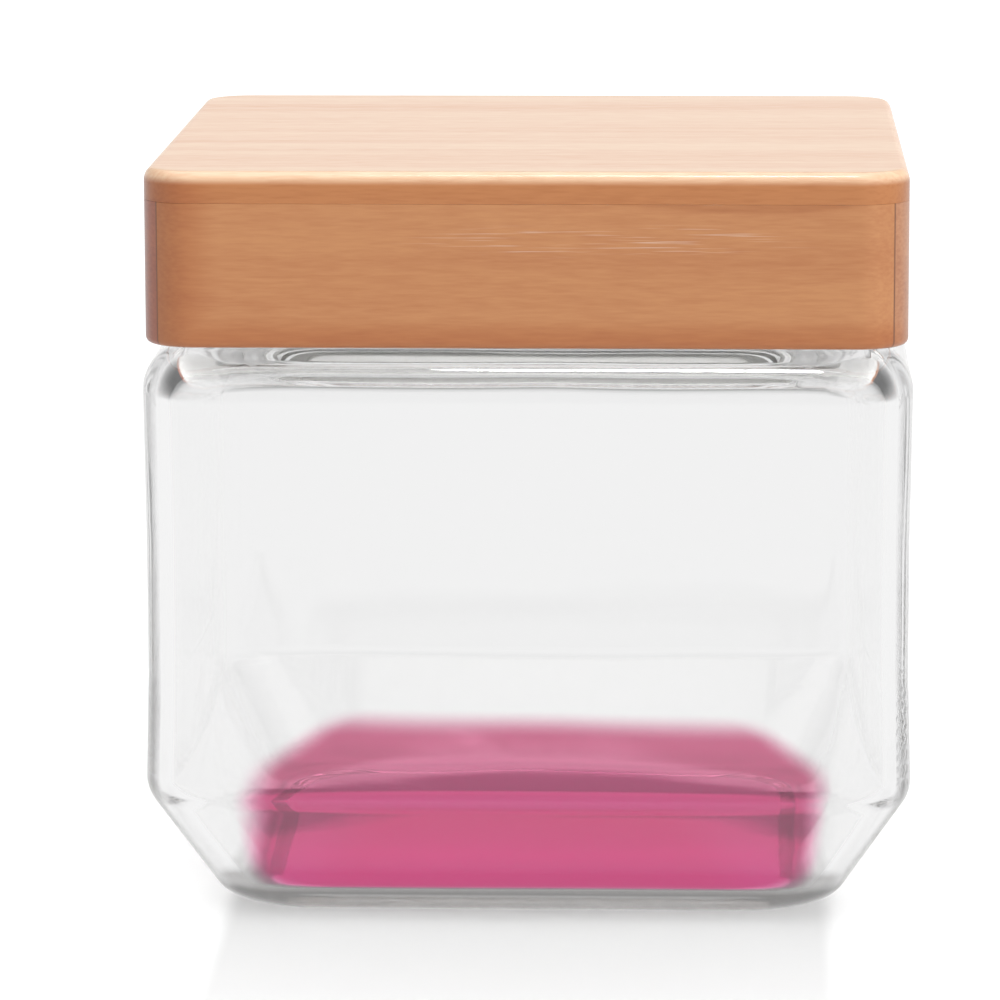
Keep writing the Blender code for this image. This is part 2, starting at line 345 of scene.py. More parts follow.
# %% [markdown]
# ## Pieces that are an outline carried round a rounded square
# The glass, the board, the frame, the plug board and the seal all follow one rule: a drawn
# outline is carried round a square with round corners. A Spin would give a round jar and a
# bevelled cube would not let each height have its own width, so Geometry Nodes does it. The
# outline is a line of points: x is the distance from the middle to the flat side, y is the
# corner's radius seen from above, and z is the height. A rounded square is a square path
# plus a circle, so each point of a ring is (x - y) times a point of the square plus y times
# a point of the circle.

# %% The tree's inputs
sweep = bpy.data.node_groups.new("carry_outline_round", "GeometryNodeTree")
sweep.is_modifier = True
for name, kind in (
    ("Geometry", "NodeSocketGeometry"), ("Bend steps", "NodeSocketInt"),
    ("Row spacing", "NodeSocketFloat"), ("Corner steps", "NodeSocketInt"),
    ("Side steps", "NodeSocketInt"), ("Ripple height", "NodeSocketFloat"),
    ("Ripple length", "NodeSocketFloat"), ("Seed", "NodeSocketFloat"),
    ("Material", "NodeSocketMaterial"),
):
    sweep.interface.new_socket(name, in_out="INPUT", socket_type=kind)
sweep.interface.new_socket("Geometry", in_out="OUTPUT", socket_type="NodeSocketGeometry")
given = add_node(sweep, "NodeGroupInput").outputs
index = add_node(sweep, "GeometryNodeInputIndex").outputs[0]
position = add_node(sweep, "GeometryNodeInputPosition").outputs[0]

# %% Round the outline's bends, then cut its long straights into rows
line = add_node(sweep, "GeometryNodeMeshToCurve", {"Mesh": given["Geometry"]})
bend = add_node(sweep, "GeometryNodeInputNamedAttribute", {"Name": "bend"}, data_type="FLOAT")
line = add_node(sweep, "GeometryNodeFilletCurve",
                {"Curve": line.outputs[0], "Count": given["Bend steps"],
                 "Radius": bend.outputs[0], "Limit Radius": True}, mode="POLY")
following = add_node(sweep, "GeometryNodeOffsetPointInCurve", {"Point Index": index, "Offset": 1})
ahead = add_node(sweep, "GeometryNodeFieldAtIndex",
                 {"Index": following.outputs["Point Index"], "Value": position},
                 data_type="FLOAT_VECTOR", domain="POINT")
stretch = add_node(sweep, "ShaderNodeVectorMath", {0: ahead.outputs[0], 1: position},
                   operation="DISTANCE")
cuts = add_node(sweep, "ShaderNodeMath",
                {0: stretch.outputs["Value"], 1: given["Row spacing"]}, operation="DIVIDE")
line = add_node(sweep, "GeometryNodeSubdivideCurve",
                {"Curve": line.outputs[0], "Cuts": cuts.outputs[0]})
rows = add_node(sweep, "GeometryNodeAttributeDomainSize", {0: line.outputs[0]},
                component="CURVE").outputs["Point Count"]

# %% A grid with one row for each outline point, and its columns round the square
quarter_steps = add_node(sweep, "ShaderNodeMath",
                         {0: given["Corner steps"], 1: given["Side steps"]}, operation="ADD")
columns = add_node(sweep, "ShaderNodeMath", {0: quarter_steps.outputs[0], 1: 4.0, 2: 1.0},
                   operation="MULTIPLY_ADD")
grid = add_node(sweep, "GeometryNodeMeshGrid",
                {"Vertices X": rows, "Vertices Y": columns.outputs[0]})
row = add_node(sweep, "ShaderNodeMath", {0: index, 1: columns.outputs[0]}, operation="DIVIDE")
row = add_node(sweep, "ShaderNodeMath", {0: row.outputs[0]}, operation="FLOOR")
column = add_node(sweep, "ShaderNodeMath", {0: index, 1: columns.outputs[0]},
                  operation="MODULO")
outline_point = add_node(sweep, "GeometryNodeSampleIndex",
                         {"Geometry": line.outputs[0], "Value": position,
                          "Index": row.outputs[0]},
                         data_type="FLOAT_VECTOR", domain="POINT")
outline_point = add_node(sweep, "ShaderNodeSeparateXYZ", {0: outline_point.outputs[0]}).outputs

# %% How far each column has turned the corner, and how far it has gone along the side
quarter = add_node(sweep, "ShaderNodeMath",
                   {0: column.outputs[0], 1: quarter_steps.outputs[0]}, operation="DIVIDE")
quarter = add_node(sweep, "ShaderNodeMath", {0: quarter.outputs[0]}, operation="FLOOR")
step = add_node(sweep, "ShaderNodeMath",
                {0: column.outputs[0], 1: quarter_steps.outputs[0]}, operation="MODULO")
turned = add_node(sweep, "ShaderNodeMath", {0: step.outputs[0], 1: given["Corner steps"]},
                  operation="DIVIDE", use_clamp=True)
past = add_node(sweep, "ShaderNodeMath", {0: step.outputs[0], 1: given["Corner steps"]},
                operation="SUBTRACT")
along = add_node(sweep, "ShaderNodeMath", {0: past.outputs[0], 1: given["Side steps"]},
                 operation="DIVIDE", use_clamp=True)

# %% The circle's point and the square's point
turn = add_node(sweep, "ShaderNodeMath", {0: quarter.outputs[0], 1: turned.outputs[0]},
                operation="ADD")
turn = add_node(sweep, "ShaderNodeMath", {0: turn.outputs[0], 1: math.pi / 2},
                operation="MULTIPLY")
circle_point = add_node(sweep, "ShaderNodeCombineXYZ", {
    "X": add_node(sweep, "ShaderNodeMath", {0: turn.outputs[0]}, operation="COSINE").outputs[0],
    "Y": add_node(sweep, "ShaderNodeMath", {0: turn.outputs[0]}, operation="SINE").outputs[0],
})
side_place = add_node(sweep, "ShaderNodeMath", {0: along.outputs[0], 1: -2.0, 2: 1.0},
                      operation="MULTIPLY_ADD")
side_place = add_node(sweep, "ShaderNodeCombineXYZ", {"X": side_place.outputs[0], "Y": 1.0})
quarter_turn = add_node(sweep, "ShaderNodeMath", {0: quarter.outputs[0], 1: math.pi / 2},
                        operation="MULTIPLY")
square_point = add_node(sweep, "ShaderNodeVectorRotate",
                        {"Vector": side_place.outputs[0], "Angle": quarter_turn.outputs[0]},
                        rotation_type="Z_AXIS")

# %% Both together give the ring, at the outline's height
SAME_POINT = 1e-6
straight = add_node(sweep, "ShaderNodeMath", {0: outline_point["X"], 1: outline_point["Y"]},
                    operation="SUBTRACT")
flat_part = add_node(sweep, "ShaderNodeVectorMath",
                     {0: square_point.outputs[0], "Scale": straight.outputs[0]},
                     operation="SCALE")
round_part = add_node(sweep, "ShaderNodeVectorMath",
                      {0: circle_point.outputs[0], "Scale": outline_point["Y"]},
                      operation="SCALE")
ring = add_node(sweep, "ShaderNodeVectorMath", {0: flat_part.outputs[0], 1: round_part.outputs[0]},
                operation="ADD")
level = add_node(sweep, "ShaderNodeCombineXYZ", {"Z": outline_point["Z"]})
ring = add_node(sweep, "ShaderNodeVectorMath", {0: ring.outputs[0], 1: level.outputs[0]},
                operation="ADD")
skin = add_node(sweep, "GeometryNodeSetPosition",
                {"Geometry": grid.outputs["Mesh"], "Position": ring.outputs[0]})
skin = add_node(sweep, "GeometryNodeMergeByDistance",
                {"Geometry": skin.outputs[0], "Distance": SAME_POINT})
skin = add_node(sweep, "GeometryNodeFlipFaces", {"Mesh": skin.outputs[0]})

# %% A slow ripple along the surface, as pressed glass has, then the finish
STILL_BELOW = 0.001
RIPPLED_ABOVE = 0.006
waves = add_node(sweep, "ShaderNodeMath", {0: 1.0, 1: given["Ripple length"]},
                 operation="DIVIDE")
ripple = add_node(sweep, "ShaderNodeTexNoise",
                  {"W": given["Seed"], "Scale": waves.outputs[0], "Detail": 1.0},
                  noise_dimensions="4D")
ripple = add_node(sweep, "ShaderNodeMath", {0: ripple.outputs[0], 1: 0.5},
                  operation="SUBTRACT")
ripple = add_node(sweep, "ShaderNodeMath", {0: ripple.outputs[0], 1: given["Ripple height"]},
                  operation="MULTIPLY")
height = add_node(sweep, "ShaderNodeSeparateXYZ", {0: position}).outputs["Z"]
grown = add_node(sweep, "ShaderNodeMapRange",
                 {"Value": height, "From Min": STILL_BELOW, "From Max": RIPPLED_ABOVE},
                 interpolation_type="SMOOTHSTEP")
ripple = add_node(sweep, "ShaderNodeMath", {0: ripple.outputs[0], 1: grown.outputs[0]},
                  operation="MULTIPLY")
normal = add_node(sweep, "GeometryNodeInputNormal")
push = add_node(sweep, "ShaderNodeVectorMath",
                {0: normal.outputs[0], "Scale": ripple.outputs[0]}, operation="SCALE")
skin = add_node(sweep, "GeometryNodeSetPosition",
                {"Geometry": skin.outputs[0], "Offset": push.outputs[0]})
skin = add_node(sweep, "GeometryNodeSetShadeSmooth", {0: skin.outputs[0]})
skin = add_node(sweep, "GeometryNodeRealizeInstances", {0: skin.outputs[0]})
skin = add_node(sweep, "GeometryNodeSetMaterial",
                {"Geometry": skin.outputs[0], "Material": given["Material"]})
add_node(sweep, "NodeGroupOutput", {"Geometry": skin.outputs[0]})
print("the tree has", len(sweep.nodes), "nodes")

# %% [markdown]
# ## From outline to piece
# The tree runs as a modifier on a line of points, whose inputs are set by their identifiers
# before the object is first evaluated. It could stay live on each piece, but a finished piece
# is a plain mesh that any program can open, so the result is copied into one. The object then
# sits at the origin, with its place in its mesh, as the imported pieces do.


# %% Carry an outline round
def carried_round(name, outline, material, **sizes):
    """A plain mesh object made from outline: points (across, corner radius, up, bend)."""
    line = bpy.data.meshes.new(name + "_outline")
    line.from_pydata([point[:3] for point in outline],
                     [(i, i + 1) for i in range(len(outline) - 1)], [])
    bends = line.attributes.new("bend", "FLOAT", "POINT")
    bends.data.foreach_set("value", [point[3] for point in outline])
    maker = bpy.data.objects.new(name + "_maker", line)
    bpy.context.collection.objects.link(maker)
    modifier = maker.modifiers.new("carry round", "NODES")
    modifier.node_group = sweep
    values = {"Bend steps": 8, "Row spacing": 0.003, "Corner steps": 12, "Side steps": 28,
              "Ripple height": 0.0, "Ripple length": 0.03, "Seed": 1.0, "Material": material}
    values.update(sizes)
    for socket in sweep.interface.items_tree:
        if socket.in_out == "INPUT" and socket.name in values:
            modifier[socket.identifier] = values[socket.name]
    evaluated = maker.evaluated_get(bpy.context.evaluated_depsgraph_get())
    mesh = bpy.data.meshes.new_from_object(evaluated)
    bpy.data.objects.remove(maker)
    mesh.name = name
    piece = bpy.data.objects.new(name, mesh)
    bpy.context.collection.objects.link(piece)
    return piece


# %% Tell how a piece came out
def report(piece):
    """Print a piece's faces and its volume, which is positive if its faces point outwards."""
    skin = bmesh.new()
    skin.from_mesh(piece.data)
    loose = sum(1 for edge in skin.edges if not edge.is_manifold)
    print(piece.name, len(skin.faces), "faces,", round(skin.calc_volume(signed=True) * 1e6, 2),
          "cm3,", loose, "open edges")
    skin.free()


# %% [markdown]
# ## Clear pressed glass
# Soda-lime glass pressed in a mould: colourless, with a faint grey where it is seen edge on,
# because light then runs through centimetres of it. A Principled shader with full transmission
# bends the light, and a weak absorption inside does the greying, so that it follows the
# real thickness. Lamps pass straight through it, or the inside of the jar would be black
# with too few samples.
#
# Two places aren't clear, and masks from the place on the jar find them. The lower rim, mostly
# at the front, is a little rough where it was set down, and it is tinted grey as painted shade:
# the grey stands for the floor's dark contact shadow seen through it. The inner face of the
# slanted band is a little rough where syrup has dried on it, which blurs what is seen through it.

# %% Values of the glass
GLASS_IOR = 1.5
GLASS_GREYING = 0.4
LAMP_LIGHT_PASSED = 0.74
CLEAR = "FCFCFC"
# The rim's grey below is painted shade: it stands for the floor's dark contact shadow seen through
# the glass.
RIM_PAINTED_SHADE_GREY = "8B8988"
SCUFFED_ROUGHNESS = 0.12
DRIED_ROUGHNESS = 0.09

glass = bpy.data.materials.new("clear_pressed_glass")
glass.use_nodes = True
tree = glass.node_tree
tree.nodes.clear()
glass_place = add_node(tree, "ShaderNodeTexCoord").outputs["Object"]
glass_axes = add_node(tree, "ShaderNodeSeparateXYZ", {0: glass_place}).outputs

# %% Rough rim with painted shade: outside a square post, low down, and mostly at the front
RIM_POST = (0.0385, 0.008)
RIM_FADE = 0.001
RIM_HEIGHT = (0.0049, 0.0034)
RIM_FRONT = (-0.036, -0.020)
RIM_SCUFF_AND_SHADE_AT_BACK = 0.15

on_rim = add_node(tree, "ShaderNodeMapRange",
                  {"Value": box_distance(tree, glass_place, *RIM_POST), "From Min": 0.0,
                   "From Max": RIM_FADE}).outputs[0]
low_down = add_node(tree, "ShaderNodeMapRange",
                    {"Value": glass_axes["Z"], "From Min": RIM_HEIGHT[0],
                     "From Max": RIM_HEIGHT[1]}).outputs[0]
at_front = add_node(tree, "ShaderNodeMapRange",
                    {"Value": glass_axes["Y"], "From Min": RIM_FRONT[0],
                     "From Max": RIM_FRONT[1], "To Min": 1.0,
                     "To Max": RIM_SCUFF_AND_SHADE_AT_BACK}).outputs[0]
rim_scuff_and_shade = add_node(tree, "ShaderNodeMath", {0: on_rim, 1: low_down},
                   operation="MULTIPLY").outputs[0]
rim_scuff_and_shade = add_node(tree, "ShaderNodeMath", {0: rim_scuff_and_shade, 1: at_front},
                   operation="MULTIPLY").outputs[0]

# %% Dried syrup: inside a post that widens upwards like the slanted band
BAND_POST = (0.0425, 0.010)
BAND_LEAN = 0.587
BAND_FADE = (0.0003, -0.0003)
DRIED_FROM = (0.0020, 0.0025)
DRIED_TO = (0.0130, 0.0080)

from_post = box_distance(tree, glass_place, *BAND_POST)
from_band = add_node(tree, "ShaderNodeMath",
                     {0: glass_axes["Z"], 1: -BAND_LEAN, 2: from_post},
                     operation="MULTIPLY_ADD").outputs[0]
dried = 1.0
for measure, (begins, complete) in ((from_band, BAND_FADE), (glass_axes["Z"], DRIED_FROM),
                                    (glass_axes["Z"], DRIED_TO)):
    fade = add_node(tree, "ShaderNodeMapRange",
                    {"Value": measure, "From Min": begins, "From Max": complete}).outputs[0]
    dried = add_node(tree, "ShaderNodeMath", {0: dried, 1: fade},
                     operation="MULTIPLY").outputs[0]

# %% The glass shader
# The rim's grey tint is painted shade. The rest of the glass is clear.
glass_tint = add_node(tree, "ShaderNodeMix",
                      {"Factor": rim_scuff_and_shade, "A": linear(CLEAR), "B": linear(RIM_PAINTED_SHADE_GREY)},
                      data_type="RGBA").outputs["Result"]
roughness = add_node(tree, "ShaderNodeMath", {0: rim_scuff_and_shade, 1: SCUFFED_ROUGHNESS},
                     operation="MULTIPLY").outputs[0]
roughness = add_node(tree, "ShaderNodeMath", {0: dried, 1: DRIED_ROUGHNESS, 2: roughness},
                     operation="MULTIPLY_ADD").outputs[0]
bending = add_node(tree, "ShaderNodeBsdfPrincipled",
                   {"Base Color": glass_tint, "Roughness": roughness, "IOR": GLASS_IOR,
                    "Transmission Weight": 1.0})
open_to_lamps = add_node(tree, "ShaderNodeBsdfTransparent",
                         {"Color": grey(LAMP_LIGHT_PASSED)})
glass_rays = add_node(tree, "ShaderNodeLightPath").outputs
glass_surface = add_node(tree, "ShaderNodeMixShader",
                         {0: glass_rays["Is Shadow Ray"], 1: bending.outputs[0],
                          2: open_to_lamps.outputs[0]})
inside = add_node(tree, "ShaderNodeVolumeAbsorption",
                  {"Color": BLACK, "Density": GLASS_GREYING})
add_node(tree, "ShaderNodeOutputMaterial", {"Surface": glass_surface.outputs[0],
                                            "Volume": inside.outputs[0]})
print("clear_pressed_glass has", len(tree.nodes), "nodes")

# %% [markdown]
# ## The jar
# One closed skin: it starts in the middle of the underside, runs over the bearing ring, the
# slanted band, the wall, the shoulder and the neck to the rim, and comes down inside an even
# wall away. The wall is very slightly hollow between the shoulder and the band. The outline is
# drawn point by point from named sizes, as a mould maker's section would be, because each
# bend has its own radius.

# %% Sizes of the jar
jar_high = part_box("glass_jar")[1]
BOX_ROOM = 0.0001
WIDEST = jar_high.x - BOX_ROOM
RIM = jar_high.z
WALL = 0.0038
FLOOR_GLASS = 0.0031
PUSH_UP = 0.0008
RING_INSIDE = 0.0371
RING_TOUCHES = 0.0396
RING_BEND = 0.001
BASE_HALF = 0.0446
BASE_BEND = 0.006
BAND_TOP = 0.0188
BAND_BEND = 0.007
HOLLOW_HALF = 0.0552
HOLLOW_LOW = 0.036
HOLLOW_HIGH = 0.056
HOLLOW_BEND = 0.02
SHOULDER = 0.0842
SHOULDER_HALF = 0.0556
SHOULDER_BEND = 0.0067
NECK_HALF = 0.0418
NECK_BEND = 0.003
OUTER_CORNER = 0.012
print("jar", round(WIDEST * 2000, 1), "mm wide and", round(RIM * 1000, 1), "mm high")

# %% Sizes of its inside
INNER_CORNER = OUTER_CORNER - WALL
INNER_HALF = HOLLOW_HALF - WALL
FLOOR_HALF = 0.0421
FLOOR_BEND = 0.0045
INNER_BAND_HALF = 0.0518
INNER_BAND_TOP = BAND_TOP + 0.0008
INNER_SHOULDER_HALF = 0.0516
INNER_SHOULDER = SHOULDER - 0.0041
INNER_SHOULDER_BEND = 0.0042
CEILING = SHOULDER - 0.0032
CEILING_BEND = 0.0030
MOUTH_HALF = NECK_HALF - WALL
RIPPLE_HEIGHT = 0.00025
RIPPLE_LENGTH = 0.028

# %% Glass jar
jar_outline = [
    (0.0, 0.0, PUSH_UP, 0.0),
    (RING_INSIDE, OUTER_CORNER, PUSH_UP, RING_BEND),
    (RING_TOUCHES, OUTER_CORNER, 0.0, RING_BEND),
    (BASE_HALF, OUTER_CORNER, 0.0, BASE_BEND),
    (WIDEST, OUTER_CORNER, BAND_TOP, BAND_BEND),
    (HOLLOW_HALF, OUTER_CORNER, HOLLOW_LOW, HOLLOW_BEND),
    (HOLLOW_HALF, OUTER_CORNER, HOLLOW_HIGH, HOLLOW_BEND),
    (SHOULDER_HALF, OUTER_CORNER, SHOULDER, SHOULDER_BEND),
    (NECK_HALF, OUTER_CORNER, SHOULDER, NECK_BEND),
    (NECK_HALF, OUTER_CORNER, RIM, WALL / 2),
    (MOUTH_HALF, INNER_CORNER, RIM, WALL / 2),
    (MOUTH_HALF, INNER_CORNER, CEILING, CEILING_BEND),
    (INNER_SHOULDER_HALF, INNER_CORNER, INNER_SHOULDER, INNER_SHOULDER_BEND),
    (INNER_HALF, INNER_CORNER, HOLLOW_HIGH, HOLLOW_BEND),
    (INNER_HALF, INNER_CORNER, HOLLOW_LOW, HOLLOW_BEND),
    (INNER_BAND_HALF, INNER_CORNER, INNER_BAND_TOP, BAND_BEND - WALL),
    (FLOOR_HALF, INNER_CORNER, FLOOR_GLASS, FLOOR_BEND),
    (0.0, 0.0, FLOOR_GLASS, 0.0),
]
glass_jar = carried_round(
    "pressed_glass_jar", jar_outline, glass,
    **{"Ripple height": RIPPLE_HEIGHT, "Ripple length": RIPPLE_LENGTH, "Bend steps": 10})
report(glass_jar)
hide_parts("glass_jar")
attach(glass_jar, "jar")

# %% [markdown]
# ## The pink on the jar's floor
# The photograph shows a soft-edged, see-through pink low in the jar, as a film of dyed syrup
# would look. It lies on the glass floor and climbs the slanted band a little. A block of pink
# would bend the light like glass, and a stain in the glass's own material would tint its
# outside too. A thin closed layer carried round like the jar itself follows the glass, and
# clear shaders with a tint let it colour what lies behind it and nothing else.

# %% Pink film: its outline
FILM_LIFT = 0.00020
FILM_THICKNESS = 0.00025
FILM_TOP = 0.0180
FILM_PULL = 0.56
film_lean = (INNER_BAND_HALF - FLOOR_HALF) / (INNER_BAND_TOP - FLOOR_GLASS)


def film_line(lift):
    """The film's outline, lifted from the glass: the floor, then up the slanted band."""
    foot = FLOOR_HALF - lift * FILM_PULL
    return [
        (0.0, 0.0, FLOOR_GLASS + lift, 0.0),
        (foot, INNER_CORNER, FLOOR_GLASS + lift, FLOOR_BEND - lift),
        (foot + (FILM_TOP - FLOOR_GLASS) * film_lean, INNER_CORNER, FILM_TOP, 0.0),
    ]


film_outline = film_line(FILM_LIFT) + film_line(FILM_LIFT + FILM_THICKNESS)[::-1]
print("the film leans", round(film_lean, 3), "outwards for each step up")

# %% [markdown]
# ## Dyed syrup
# Dried syrup is a clear tint without a hard edge: the dye thins out at the sides, in the
# corners, up the band and towards the front glass. One round mask would miss its shape, so
# each of those is a measure of the place on the film, faded from none to the full tint, and
# all are multiplied. The first three numbers tilt the measures: they say how much a step
# backwards or sideways counts.

# %% Where the dye is: its measures and the places where they fade
CLIMB_BACKWARDS = 0.221
CLIMB_SIDEWAYS = 0.75
SIDE_BACKWARDS = -0.04
DYE_SIDE = (0.0462, 0.0400)
DYE_FRONT_CORNER = (0.0805, 0.0682)
DYE_CLIMB_CORNER = (0.0474, 0.0414)
DYE_CLIMB = (0.0214, 0.0163)
DYE_FRONT = (-0.0425, -0.0368)
DYE_AT_FRONT = 0.18

dyed = bpy.data.materials.new("dyed_syrup")
dyed.use_nodes = True
tree = dyed.node_tree
tree.nodes.clear()
film_place = add_node(tree, "ShaderNodeTexCoord").outputs["Object"]
film_axes = add_node(tree, "ShaderNodeSeparateXYZ", {0: film_place}).outputs
across = add_node(tree, "ShaderNodeMath", {0: film_axes["X"]}, operation="ABSOLUTE").outputs[0]
climb = add_node(tree, "ShaderNodeMath",
                 {0: film_axes["Y"], 1: CLIMB_BACKWARDS, 2: film_axes["Z"]},
                 operation="MULTIPLY_ADD").outputs[0]
climb_corner = add_node(tree, "ShaderNodeMath", {0: across, 1: CLIMB_SIDEWAYS, 2: climb},
                        operation="MULTIPLY_ADD").outputs[0]
side = add_node(tree, "ShaderNodeMath", {0: film_axes["Y"], 1: SIDE_BACKWARDS, 2: across},
                operation="MULTIPLY_ADD").outputs[0]
front_corner = add_node(tree, "ShaderNodeMath", {0: across, 1: film_axes["Y"]},
                        operation="SUBTRACT").outputs[0]
dye_amount = add_node(tree, "ShaderNodeMapRange",
                      {"Value": film_axes["Y"], "From Min": DYE_FRONT[0],
                       "From Max": DYE_FRONT[1], "To Min": DYE_AT_FRONT, "To Max": 1.0},
                      interpolation_type="SMOOTHSTEP").outputs[0]
for measure, (none, full) in ((side, DYE_SIDE), (front_corner, DYE_FRONT_CORNER),
                              (climb_corner, DYE_CLIMB_CORNER), (climb, DYE_CLIMB)):
    fade = add_node(tree, "ShaderNodeMapRange",
                    {"Value": measure, "From Min": none, "From Max": full},
                    interpolation_type="SMOOTHSTEP").outputs[0]
    dye_amount = add_node(tree, "ShaderNodeMath", {0: dye_amount, 1: fade},
                          operation="MULTIPLY").outputs[0]

# %% [markdown]
# ## The dye's colour from front to back
# The film is brightest on the front band, duller on the floor, and pale pink on the back
# band. The change runs along curves that swing forward at the sides, and loose streaks break
# it up, as a liquid leaves them. One streak is about 9 mm wide and three times as long.

# %% Colour of the dye
DYE_FROM, DYE_TO = -0.045, 0.055
SWING_HALF = 0.036
SWING_POWER = 3.0
SWING_REACH = 0.012
STREAKS_IN_A_METRE = 110.0
STREAK_REACH = 0.010
STREAK_STRETCH = (0.3, 1.0, 1.0)
DYE_FRONT_COLOUR = (0.25, "F788C5")
DYE_BACK_COLOUR = (0.955, "E6A2BD")
DYE_COLOURS = ((0.57, "F692C1"), (0.65, "DA84AE"), (0.80, "DA88B0"), (0.86, "F0B2CC"),
               (0.925, "F2B6CE"))

swung = add_node(tree, "ShaderNodeMath", {0: across, 1: SWING_HALF}, operation="DIVIDE")
swung = add_node(tree, "ShaderNodeMath", {0: swung.outputs[0], 1: SWING_POWER},
                 operation="POWER")
depth = add_node(tree, "ShaderNodeMath",
                 {0: swung.outputs[0], 1: SWING_REACH, 2: film_axes["Y"]},
                 operation="MULTIPLY_ADD").outputs[0]
streaks = add_node(tree, "ShaderNodeMapping", {"Vector": film_place, "Scale": STREAK_STRETCH})
streaks = add_node(tree, "ShaderNodeTexNoise",
                   {"Vector": streaks.outputs[0], "Scale": STREAKS_IN_A_METRE, "Detail": 3.0,
                    "Distortion": 0.8})
depth = add_node(tree, "ShaderNodeMath", {0: streaks.outputs[0], 1: STREAK_REACH, 2: depth},
                 operation="MULTIPLY_ADD").outputs[0]
depth = add_node(tree, "ShaderNodeMapRange",
                 {"Value": depth, "From Min": DYE_FROM, "From Max": DYE_TO}).outputs[0]
dye = add_node(tree, "ShaderNodeValToRGB", {"Fac": depth})
for element, (position, colour) in zip(dye.color_ramp.elements,
                                       (DYE_FRONT_COLOUR, DYE_BACK_COLOUR)):
    element.position = position
    element.color = linear(colour)
for position, colour in DYE_COLOURS:
    dye.color_ramp.elements.new(position).color = linear(colour)

# %% [markdown]
# ## The film's shader
# The tint counts only for light that comes straight through the glass to the eye. Light that
# the wood gathers, or that the glass mirrors inside, finds the film clear: a film so thin
# hardly tints its surroundings, and without this the walls and the lid would turn pink.

# %% Pink film
film_rays = add_node(tree, "ShaderNodeLightPath").outputs
turned_away = add_node(tree, "ShaderNodeMath",
                       {0: film_rays["Diffuse Depth"], 1: film_rays["Glossy Depth"]}).outputs[0]
straight_on = add_node(tree, "ShaderNodeMapRange",
                       {"Value": turned_away, "From Max": 1.0, "To Min": 1.0,
                        "To Max": 0.0}).outputs[0]
dye_amount = add_node(tree, "ShaderNodeMath", {0: dye_amount, 1: straight_on},
                      operation="MULTIPLY").outputs[0]
film_tint = add_node(tree, "ShaderNodeMix",
                     {"Factor": dye_amount, "A": WHITE, "B": dye.outputs[0]},
                     data_type="RGBA").outputs["Result"]
film_surface = add_node(tree, "ShaderNodeBsdfTransparent", {"Color": film_tint})
add_node(tree, "ShaderNodeOutputMaterial", {"Surface": film_surface.outputs[0]})

pink_film = carried_round("pink_film", film_outline, dyed)
report(pink_film)
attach(pink_film, "jar")

# %% [markdown]
# ## Pine under clear lacquer
# Pine is pale, with soft orange-brown growth bands and fine fibres along the board. A picture
# of planks would repeat and stretch, while two stretched noises, one for the bands and one for
# the fibres, run right through the wood, so that sawn ends match. The frame is stained a little
# darker than the top, whose upper face is painted paler as painted light: it stands for the
# overhead light and the lacquer's sheen there. A satin lacquer lies over the stain and whitens
# at a flat angle too. The plug is bare, and the bare wood is drawn near white as painted light.
#
# The bands are 7 mm apart. Real pine fibres are a few hundredths of a millimetre wide, too
# fine to show here, so they are drawn 0.45 mm wide.

# %% Bands and fibres
BAND_MM = 7.0
FIBRE_MM = 0.45
GRAIN_STRETCH = 0.035
FIBRE_STRETCH = GRAIN_STRETCH * 3
BAND_SHARE = 0.58
TONE_RANGE = (0.34, 0.62)


def wood_grain(tree, place, grain_axis, seed):
    """The bands, the fibres, and the tone of both, for grain along axis 0 (X) or 1 (Y)."""
    turned = add_node(tree, "ShaderNodeMapping",
                      {"Vector": place, "Rotation": (0, 0, -math.pi / 2 * grain_axis),
                       "Location": (seed, seed * 0.37, seed * 0.11)}).outputs[0]
    long_way = add_node(tree, "ShaderNodeVectorMath", {0: turned, 1: (GRAIN_STRETCH, 1, 1)},
                        operation="MULTIPLY").outputs[0]
    bands = add_node(tree, "ShaderNodeTexNoise",
                     {"Vector": long_way, "Scale": 1000 / BAND_MM, "Detail": 4.0,
                      "Roughness": 0.6, "Distortion": 0.1}).outputs[0]
    short_way = add_node(tree, "ShaderNodeVectorMath",
                         {0: turned, 1: (FIBRE_STRETCH, 1, 1)},
                         operation="MULTIPLY").outputs[0]
    fibres = add_node(tree, "ShaderNodeTexNoise",
                      {"Vector": short_way, "Scale": 1000 / FIBRE_MM,
                       "Detail": 2.0}).outputs[0]
    tone = add_node(tree, "ShaderNodeMath", {0: bands, 1: BAND_SHARE},
                    operation="MULTIPLY").outputs[0]
    tone = add_node(tree, "ShaderNodeMath", {0: fibres, 1: 1 - BAND_SHARE, 2: tone},
                    operation="MULTIPLY_ADD").outputs[0]
    tone = add_node(tree, "ShaderNodeMapRange",
                    {"Value": tone, "From Min": TONE_RANGE[0],
                     "From Max": TONE_RANGE[1]}).outputs[0]
    return bands, fibres, tone


# %% [markdown]
# ## Stain, darker edges, painted shade and the sawn joint
# The stain lies on the outside of the lid only, a millimetre deep, and the top board's upper
# face is painted pale instead, as painted light of the overhead lamp and the lacquer's sheen.
# The frame is a little darker along its lower edge, and its left end is darker as painted
# shade, since it faces away from the lamps. At each corner two mitred strips meet in a brown
# line of glue, too fine to show, so it is drawn up to 0.6 mm wide. A gap between the strips
# would show too, but it would let light through. All of it is worked out from the place on the
# lid.

# %% Where the stain lies
board_low, board_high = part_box("lid_top_board")
strip_low, strip_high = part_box("lid_front_strip")
LID_HALF = board_high.x
LID_CORNER = 0.0075
STAIN_DEPTH = 0.0012
STAIN_FADE = 0.0002
# Above this height the top board's upper face is painted paler: painted light of the overhead lamp
# and the lacquer's sheen, down to the highlight on its rounded edge.
PAINTED_LIGHT_TOP = (board_high.z - 0.0020, board_high.z - 0.0006)
